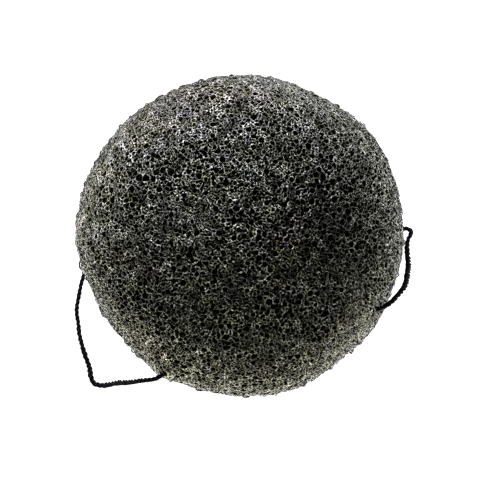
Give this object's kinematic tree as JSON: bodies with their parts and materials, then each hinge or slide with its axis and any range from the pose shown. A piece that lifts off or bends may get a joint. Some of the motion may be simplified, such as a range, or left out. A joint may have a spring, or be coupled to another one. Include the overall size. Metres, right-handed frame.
{
  "type": "konjac sponge",
  "caption": "Half-ball konjac foam sponge lying on its flat back, with a knotted loop of twisted cord threaded through it near one edge.",
  "frame": {"origin": "centre of the flat back, on the surface that the sponge lies on", "axes": "+Z up through the dome; +X to the right and +Y up in a view straight down on the dome, so the cord's channel lies near the -Y edge"},
  "size_m": [0.0843, 0.08, 0.038],
  "materials": {
    "konjac_foam": "matte open-cell foam, dark charcoal grey with a warm tint on its fine net",
    "black_cord": "twisted cotton cord, black with a faint blue tint"
  },
  "bodies": {
    "sponge": {"sponge_body": "konjac_foam"},
    "cord_loop": {"cord_through": "black_cord", "cord_left_run": "black_cord", "cord_right_run": "black_cord", "cord_knot": "black_cord", "cord_tail_left": "black_cord", "cord_tail_right": "black_cord"}
  },
  "joints": [
    {"name": "cord_swing", "type": "hinge", "parent": "sponge", "child": "cord_loop", "pos_m": [0.00801, -0.0262, 0.0155], "axis": [-0.9563, -0.2924, 0], "range_deg": [0, 285]}
  ]
}
